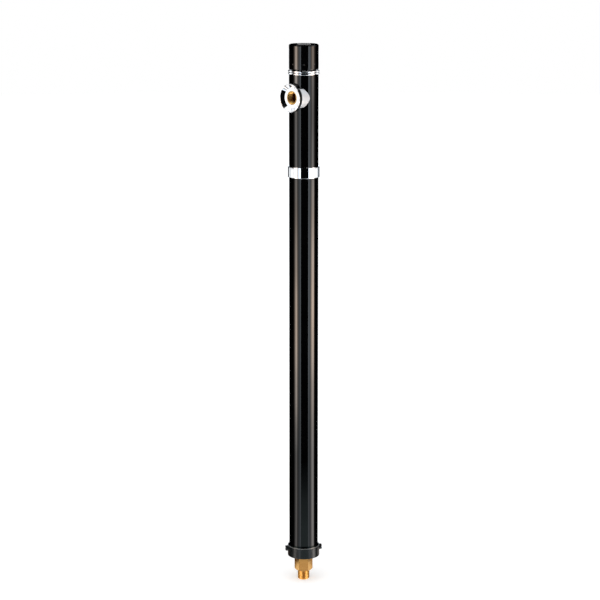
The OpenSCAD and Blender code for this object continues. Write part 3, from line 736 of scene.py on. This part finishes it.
# Painted shade: inside the cup's small hole and along its edge the chrome turns near-black
HOLE_PAINTED_SHADE = (0.008, 0.008, 0.009)
CHROME_BRIGHT = (0.86, 0.87, 0.89)
CHROME_HAZE = (0.74, 0.75, 0.77)


def painted_hole_shade(tree, place):
    flat = add_node(tree, "ShaderNodeVectorMath", {"operation": "MULTIPLY"})
    flat.inputs[1].default_value = (1, 0, 1)
    join(tree, place, flat.inputs[0])
    away = add_node(tree, "ShaderNodeVectorMath", {"operation": "DISTANCE"})
    away.inputs[1].default_value = (0, 0, OUTLET_Z + HOLE_ABOVE_OUTLET)
    join(tree, flat.outputs[0], away.inputs[0])
    return smooth_step(tree, away.outputs["Value"], HOLE_R + HOLE_EDGE, HOLE_R + HOLE_EDGE / 2)


def chrome_finish(name, with_hole_shade=False):
    material, tree, surface = start_finish(name, {"Metallic": 1.0})
    place = object_place(tree)
    film = place_group(tree, handling_film, place, {"Patch": 0.012, "Cover": 0.6})
    plate = mix_colours(tree, film.outputs["Mask"], CHROME_BRIGHT, CHROME_HAZE)
    if with_hole_shade:
        plate = mix_colours(tree, painted_hole_shade(tree, place), plate, HOLE_PAINTED_SHADE)
    join(tree, plate, surface.inputs["Base Color"])
    spread(tree, film.outputs["Mask"], 0.035, 0.14, surface.inputs["Roughness"])
    print("finish:", material.name)
    return material


chrome_plate = chrome_finish("chrome_plate")
cup_chrome = chrome_finish("cup_chrome", with_hole_shade=True)

# %% Satin chrome
SATIN_LIGHT = (0.84, 0.88, 0.93)
SATIN_HAZE = (0.76, 0.8, 0.85)
# Painted shadow: the saddle's front, where the cup sits on it, turns near-black
SEAM_PAINTED_SHADOW = (0.015, 0.015, 0.016)
SEAM_DEPTH = 0.0006
SEAM_BLEND = 0.0004
satin_chrome, tree, surface = start_finish("satin_chrome", {"Metallic": 0.4})
place = object_place(tree)
film = place_group(tree, handling_film, place, {"Patch": 0.012, "Cover": 0.6})
SADDLE_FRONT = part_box("outlet_saddle")[0].y
SEAM_END = SADDLE_FRONT + SEAM_DEPTH
seam = step_along(tree, place, "Y", SEAM_END, SEAM_END - SEAM_BLEND)
satin = mix_colours(tree, film.outputs["Mask"], SATIN_LIGHT, SATIN_HAZE)
blend_colours(tree, seam, satin, SEAM_PAINTED_SHADOW, surface.inputs["Base Color"])
spread(tree, film.outputs["Mask"], 0.34, 0.42, surface.inputs["Roughness"])
print("finish:", satin_chrome.name)

# %% Turned metals


def turned_metal(name, light, dark, roughness, pitch, along_outlet=False, tone=None):
    material, tree, surface = start_finish(name, {"Metallic": 1.0})
    place = object_place(tree)
    if along_outlet:
        turn = add_node(tree, "ShaderNodeMapping", {"vector_type": "TEXTURE"})
        turn.inputs["Location"].default_value = (0, 0, OUTLET_Z)
        turn.inputs["Rotation"].default_value = (math.radians(90), 0, 0)
        join(tree, place, turn.inputs["Vector"])
        place = turn.outputs["Vector"]
    rings = place_group(tree, turned_rings, place, {"Pitch": pitch})
    film = place_group(tree, handling_film, place, {"Patch": 0.01, "Cover": 0.9})
    colour = mix_colours(tree, rings.outputs["Tone"], light, dark)
    if tone:
        start, end, other = tone
        colour = mix_colours(tree, step_along(tree, place, "Z", start, end), colour, other)
    join(tree, colour, surface.inputs["Base Color"])
    spread(tree, film.outputs["Mask"], roughness, roughness + 0.2, surface.inputs["Roughness"])
    bump(tree, rings.outputs["Height"], 0.12, 0.00005, surface.inputs["Normal"])
    print("finish:", material.name)
    return material


# %% Brass, copper and steel
LATHE_PITCH = 0.0004
BRASS_LIGHT = (0.84, 0.48, 0.15)
BRASS_DARK = (0.62, 0.33, 0.09)
CUT_BRASS = (0.9, 0.57, 0.2)
CUT_BLEND = 0.0006
SOCKET_LIGHT = (0.93, 0.6, 0.2)
SOCKET_DARK = (0.84, 0.48, 0.14)
# Painted shade: the socket's brass darkens to a deep red-brown deeper in the bore
BORE_PAINTED_SHADE = (0.2, 0.05, 0.012)
SHADE_STARTS = 0.006
SHADE_ENDS = 0.0125
SOCKET_FACE = -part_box("outlet_socket")[0].y
turned_brass = turned_metal(
    "turned_brass", BRASS_LIGHT, BRASS_DARK, 0.16, LATHE_PITCH, tone=(0.0, -CUT_BLEND, CUT_BRASS),
)
socket_brass = turned_metal(
    "socket_brass", SOCKET_LIGHT, SOCKET_DARK, 0.22, LATHE_PITCH, along_outlet=True,
    tone=(SOCKET_FACE - SHADE_STARTS, SOCKET_FACE - SHADE_ENDS, BORE_PAINTED_SHADE),
)
drawn_copper = turned_metal("drawn_copper", (0.74, 0.38, 0.21), (0.55, 0.25, 0.13), 0.25, 0.004)
turned_steel = turned_metal("turned_steel", (0.6, 0.61, 0.63), (0.48, 0.49, 0.5), 0.22, 0.0003)

# %% [markdown]
# Rubber and nylon
#
# The seals and washers inside are plain moulded pieces: dull black rubber and natural nylon, with a soft
# grain. They hardly show, so one recipe with two colours is enough for both.

# %% Rubber and nylon


def moulded_grain(name, light, dark, roughness):
    material, tree, surface = start_finish(name, {"IOR": 1.5})
    place = object_place(tree)
    film = place_group(tree, handling_film, place, {"Patch": 0.006, "Cover": 1.0})
    grain = place_group(tree, orange_peel, place, {"Cell": 0.0006})
    blend_colours(tree, film.outputs["Mask"], light, dark, surface.inputs["Base Color"])
    spread(tree, film.outputs["Mask"], roughness, roughness + 0.15, surface.inputs["Roughness"])
    bump(tree, grain.outputs["Height"], 0.2, 0.0001, surface.inputs["Normal"])
    print("finish:", material.name)
    return material


seal_rubber = moulded_grain("seal_rubber", (0.015, 0.015, 0.015), (0.035, 0.035, 0.034), 0.55)
natural_nylon = moulded_grain("natural_nylon", (0.8, 0.77, 0.68), (0.72, 0.68, 0.58), 0.38)

# %% [markdown]
# Give every solid its finish
#
# Each solid could be named here with its finish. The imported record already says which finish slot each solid
# has, so one table of slots dresses them all. Three pieces round the outlet then get finishes of their own.

# %% Finish each solid
FINISHES = {
    "pole_black": gloss_paint,
    "knob_black": knob_moulding,
    "collar_black": painted_casting,
    "chrome": chrome_plate,
    "brass": turned_brass,
    "copper": drawn_copper,
    "steel": turned_steel,
    "rubber": seal_rubber,
    "nylon": natural_nylon,
}
for subpart in frame["record"]["subparts"]:
    solid = nodes[subpart["node"]]
    solid.data.materials.clear()
    solid.data.materials.append(FINISHES[subpart["material_slot"]])
nodes["outlet_socket"].data.materials[0] = socket_brass
nodes["outlet_saddle"].data.materials[0] = satin_chrome
nodes["outlet_cup"].data.materials[0] = cup_chrome

# %% [markdown]
# The pipe threads
#
# The inlet nipple and the outlet socket carry standard half-inch pipe threads, 1.814 mm a turn. The solids
# keep them as plain cylinders, so here they are cut for real. A Screw modifier could sweep a tooth round the
# axis, but its ends would stop short. A thread is a shape that follows a rule: the radius depends only on
# how far a point lies along the helix. Geometry Nodes bends a flat grid round the axis by that rule, and
# lets both ends run out to a plain radius, so that the wall meets the faces beside it.

# %% The thread rule as a node tree
thread_rule = bpy.data.node_groups.new("pipe_thread", "GeometryNodeTree")
thread_inputs = {}
for label, kind in (
    ("Crest Radius", "NodeSocketFloat"),
    ("Root Radius", "NodeSocketFloat"),
    ("Pitch", "NodeSocketFloat"),
    ("Length", "NodeSocketFloat"),
    ("Start Radius", "NodeSocketFloat"),
    ("End Radius", "NodeSocketFloat"),
    ("Start Run", "NodeSocketFloat"),
    ("End Run", "NodeSocketFloat"),
    ("Around", "NodeSocketInt"),
    ("Along", "NodeSocketInt"),
    ("Finish", "NodeSocketMaterial"),
):
    socket = thread_rule.interface.new_socket(name=label, in_out="INPUT", socket_type=kind)
    thread_inputs[label] = socket.identifier
thread_rule.interface.new_socket(name="Geometry", in_out="OUTPUT", socket_type="NodeSocketGeometry")
entry = add_node(thread_rule, "NodeGroupInput")
result = add_node(thread_rule, "NodeGroupOutput")

sheet = add_node(thread_rule, "GeometryNodeMeshGrid", values={"Size X": 1.0})
join(thread_rule, entry.outputs["Length"], sheet.inputs["Size Y"])
join(thread_rule, entry.outputs["Around"], sheet.inputs["Vertices X"])
join(thread_rule, entry.outputs["Along"], sheet.inputs["Vertices Y"])
split = add_node(thread_rule, "ShaderNodeSeparateXYZ")
join(thread_rule, add_node(thread_rule, "GeometryNodeInputPosition").outputs[0], split.inputs[0])
turn = arithmetic(thread_rule, "ADD", split.outputs["X"], 0.5)
half_length = arithmetic(thread_rule, "MULTIPLY", entry.outputs["Length"], 0.5)
along = arithmetic(thread_rule, "ADD", split.outputs["Y"], half_length)

# %% Ridges, ends and the bend round the axis
SEAM_WELD = 0.000002
turns_along = arithmetic(thread_rule, "DIVIDE", along, entry.outputs["Pitch"])
phase = arithmetic(thread_rule, "FRACT", arithmetic(thread_rule, "SUBTRACT", turns_along, turn))
slope = arithmetic(thread_rule, "ABSOLUTE", arithmetic(thread_rule, "SUBTRACT", phase, 0.5))
ridge = add_node(
    thread_rule, "ShaderNodeMapRange", {"interpolation_type": "SMOOTHSTEP"},
    {"From Min": 0.07, "From Max": 0.43},
)
join(thread_rule, slope, ridge.inputs["Value"])
join(thread_rule, entry.outputs["Root Radius"], ridge.inputs["To Min"])
join(thread_rule, entry.outputs["Crest Radius"], ridge.inputs["To Max"])


def run_out(distance, run, plain_radius, thread_radius):
    node = add_node(thread_rule, "ShaderNodeMapRange", values={"From Min": 0.0})
    join(thread_rule, distance, node.inputs["Value"])
    join(thread_rule, run, node.inputs["From Max"])
    join(thread_rule, plain_radius, node.inputs["To Min"])
    join(thread_rule, thread_radius, node.inputs["To Max"])
    return node.outputs["Result"]


to_end = arithmetic(thread_rule, "SUBTRACT", entry.outputs["Length"], along)
radius = run_out(along, entry.outputs["Start Run"], entry.outputs["Start Radius"], ridge.outputs["Result"])
radius = run_out(to_end, entry.outputs["End Run"], entry.outputs["End Radius"], radius)
angle = arithmetic(thread_rule, "MULTIPLY", turn, 2 * math.pi)
bent = add_node(thread_rule, "ShaderNodeCombineXYZ")
for axis, wave in (("X", "COSINE"), ("Y", "SINE")):
    share = arithmetic(thread_rule, "MULTIPLY", radius, arithmetic(thread_rule, wave, angle))
    join(thread_rule, share, bent.inputs[axis])
join(thread_rule, along, bent.inputs["Z"])
wrap = add_node(thread_rule, "GeometryNodeSetPosition")
close = add_node(thread_rule, "GeometryNodeMergeByDistance", values={"Distance": SEAM_WELD})
real = add_node(thread_rule, "GeometryNodeRealizeInstances")
dress = add_node(thread_rule, "GeometryNodeSetMaterial")
join(thread_rule, sheet.outputs["Mesh"], wrap.inputs["Geometry"])
join(thread_rule, bent.outputs[0], wrap.inputs["Position"])
join(thread_rule, wrap.outputs[0], close.inputs["Geometry"])
join(thread_rule, close.outputs[0], real.inputs["Geometry"])
join(thread_rule, real.outputs[0], dress.inputs["Geometry"])
join(thread_rule, entry.outputs["Finish"], dress.inputs["Material"])
join(thread_rule, dress.outputs[0], result.inputs["Geometry"])
print("thread rule inputs:", list(thread_inputs))

# %% Make a thread wall


def thread_wall(name, sizes, finish):
    mesh = bpy.data.meshes.new(name)
    wall = bpy.data.objects.new(name, mesh)
    scene.collection.objects.link(wall)
    modifier = wall.modifiers.new("pipe_thread", "NODES")
    modifier.node_group = thread_rule
    for label, value in sizes.items():
        modifier[thread_inputs[label]] = value
    modifier[thread_inputs["Finish"]] = finish
    evaluated = wall.evaluated_get(bpy.context.evaluated_depsgraph_get())
    made = bpy.data.meshes.new_from_object(evaluated)
    bpy.data.objects.remove(wall)
    return made


# %% [markdown]
# Set a thread wall into its solid
#
# A boolean could cut the groove, but it would leave long thin faces that shade badly. Instead, a copy of the
# solid loses just the plain wall that the thread takes the place of, and the thread wall is joined in. The
# copy keeps all its other faces and stands for the solid.

# %% Replace a plain wall
SHARP_FROM = math.radians(18)
CORNER_WELD = 0.000001
WALL_SLACK = 0.00002
LEAST_RISE = 0.00005


def threaded_copy(node, wall_mesh, to_world, inner, outer, low, high, inward, finish):
    to_axis = to_world.inverted()
    shape = bmesh.new()
    shape.from_mesh(nodes[node].data)
    bmesh.ops.remove_doubles(shape, verts=shape.verts, dist=CORNER_WELD)
    plain_wall = []
    for face in shape.faces:
        corners = [to_axis @ corner.co for corner in face.verts]
        radii = [Vector((corner.x, corner.y)).length for corner in corners]
        levels = [corner.z for corner in corners]
        on_wall = min(radii) > inner - WALL_SLACK and max(radii) < outer + WALL_SLACK
        in_reach = min(levels) > low - WALL_SLACK and max(levels) < high + WALL_SLACK
        if on_wall and in_reach and max(levels) - min(levels) > LEAST_RISE:
            plain_wall.append(face)
    bmesh.ops.delete(shape, geom=plain_wall, context="FACES")
    for edge in shape.edges:
        edge.smooth = edge.calc_face_angle(math.pi) < SHARP_FROM
    first_new = len(shape.faces)
    wall_mesh.transform(to_world @ Matrix.Translation((0, 0, low)))
    shape.from_mesh(wall_mesh)
    shape.faces.ensure_lookup_table()
    wall_faces = shape.faces[first_new:]
    middle = to_axis @ wall_faces[0].calc_center_median()
    facing = to_axis.to_3x3() @ wall_faces[0].normal
    points_in = facing.x * middle.x + facing.y * middle.y < 0
    if points_in != inward:
        bmesh.ops.reverse_faces(shape, faces=wall_faces)
    for face in shape.faces:
        face.smooth = True
        face.material_index = 0
    mesh = bpy.data.meshes.new(node + "_threaded")
    shape.to_mesh(mesh)
    shape.free()
    mesh.materials.clear()
    mesh.materials.append(finish)
    piece = bpy.data.objects.new(node + "_threaded", mesh)
    scene.collection.objects.link(piece)
    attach(piece, "standpipe")
    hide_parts(node)
    print(node, "lost", len(plain_wall), "plain faces and gained", len(wall_faces))
    return piece


# %% Cut the inlet thread
PIPE_PITCH = 0.001814
PIPE_MAJOR_R = 0.0104775
PIPE_MINOR_R = 0.0093155
NIPPLE_CHAMFER = 0.0012
NIPPLE_RUN_OUT = 0.0012
THREAD_AROUND = 97
NIPPLE_ROWS = 141
nipple_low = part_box("foot_valve_body")[0].z

inlet_wall = thread_wall(
    "inlet_thread",
    {
        "Crest Radius": PIPE_MAJOR_R, "Root Radius": PIPE_MINOR_R,
        "Pitch": PIPE_PITCH, "Length": -nipple_low,
        "Start Radius": PIPE_MAJOR_R - NIPPLE_CHAMFER, "End Radius": PIPE_MAJOR_R,
        "Start Run": NIPPLE_CHAMFER, "End Run": NIPPLE_RUN_OUT,
        "Around": THREAD_AROUND, "Along": NIPPLE_ROWS,
    },
    turned_brass,
)
threaded_copy(
    "foot_valve_body", inlet_wall, Matrix.Identity(4),
    PIPE_MAJOR_R - NIPPLE_CHAMFER, PIPE_MAJOR_R, nipple_low, 0.0, False, turned_brass,
)

# %% Cut the outlet thread
BORE_RUN_OUT = 0.002
MOUTH_RUN_OUT = 0.0004
BORE_ROWS = 95
outlet = frame["record"]["mounts"][1]
bore_r = outlet["dims"]["r_mm"] / 1000
bore_length = outlet["dims"]["length_mm"] / 1000
bore_low = -outlet["pos_m"][1] - bore_length / 2
to_outlet = Matrix.Translation((0, 0, OUTLET_Z)) @ Matrix.Rotation(math.radians(90), 4, "X")

outlet_wall = thread_wall(
    "outlet_thread",
    {
        "Crest Radius": bore_r, "Root Radius": PIPE_MAJOR_R,
        "Pitch": PIPE_PITCH, "Length": bore_length,
        "Start Radius": bore_r, "End Radius": bore_r,
        "Start Run": BORE_RUN_OUT, "End Run": MOUTH_RUN_OUT,
        "Around": THREAD_AROUND, "Along": BORE_ROWS,
    },
    socket_brass,
)
outlet_threaded = threaded_copy(
    "outlet_socket", outlet_wall, to_outlet,
    bore_r, bore_r, bore_low, bore_low + bore_length, True, socket_brass,
)
# The socket sits in the cup, so it shares two of the cup's cards
for card in (cup_front_card, cup_high_card):
    card.light_linking.receiver_collection.objects.link(outlet_threaded)

# %% [markdown]
# Marks on the knob's plate
#
# The plate gets something plain that any such knob could have: two arrows for the turn that opens the valve.
# A printed mark could be a mask in the plate's finish, but raised inlays catch the light as moulded ones do.
# They are drawn as bands of an arc that end in a head, and pulled up until they stand just proud of the
# plate.

# %% Draw the arrows
ARROW_RADIUS = 0.0126
ARROW_WIDTH = 0.0034
ARROW_SWEEP = 118
HEAD_SWEEP = 22
HEAD_FLARE = 2.4
ARROW_STEPS = 24
ARROW_STARTS = (-96, 84)
MARK_SINK = 0.00008
MARK_PROUD = 0.0006
plate_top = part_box("knob_plate")[1].z


def on_plate(degrees, radius, z):
    return Vector((radius * math.cos(math.radians(degrees)), radius * math.sin(math.radians(degrees)), z))


def arrow_outline(start):
    half = ARROW_WIDTH / 2
    body_end = start + ARROW_SWEEP - HEAD_SWEEP
    angles = [start + (body_end - start) * step / ARROW_STEPS for step in range(ARROW_STEPS + 1)]
    inner = [(angle, ARROW_RADIUS - half) for angle in angles]
    outer = [(angle, ARROW_RADIUS + half) for angle in reversed(angles)]
    head = [
        (body_end, ARROW_RADIUS - HEAD_FLARE * half),
        (start + ARROW_SWEEP, ARROW_RADIUS),
        (body_end, ARROW_RADIUS + HEAD_FLARE * half),
    ]
    return inner + head + outer


shape = bmesh.new()
for start in ARROW_STARTS:
    base = [on_plate(angle, radius, plate_top - MARK_SINK) for angle, radius in arrow_outline(start)]
    face = shape.faces.new([shape.verts.new(point) for point in base])
    bmesh.ops.triangulate(shape, faces=[face])
raised = bmesh.ops.extrude_face_region(shape, geom=list(shape.faces))
lifted = [item for item in raised["geom"] if isinstance(item, bmesh.types.BMVert)]
bmesh.ops.translate(shape, verts=lifted, vec=(0, 0, MARK_SINK + MARK_PROUD))
bmesh.ops.recalc_face_normals(shape, faces=shape.faces)
mark_mesh = bpy.data.meshes.new("knob_arrows")
shape.to_mesh(mark_mesh)
shape.free()

# %% Finish the arrows
MARK_PALE = (0.62, 0.63, 0.64)
MARK_WORN = (0.35, 0.35, 0.36)
pale_print, tree, surface = start_finish("pale_print", {"IOR": 1.5})
film = place_group(tree, handling_film, object_place(tree), {"Patch": 0.004, "Cover": 1.0})
blend_colours(tree, film.outputs["Mask"], MARK_PALE, MARK_WORN, surface.inputs["Base Color"])
spread(tree, film.outputs["Mask"], 0.3, 0.5, surface.inputs["Roughness"])
mark_mesh.materials.append(pale_print)
knob_arrows = bpy.data.objects.new("knob_arrows", mark_mesh)
scene.collection.objects.link(knob_arrows)
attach(knob_arrows, "knob")
print("arrow faces:", len(mark_mesh.polygons))
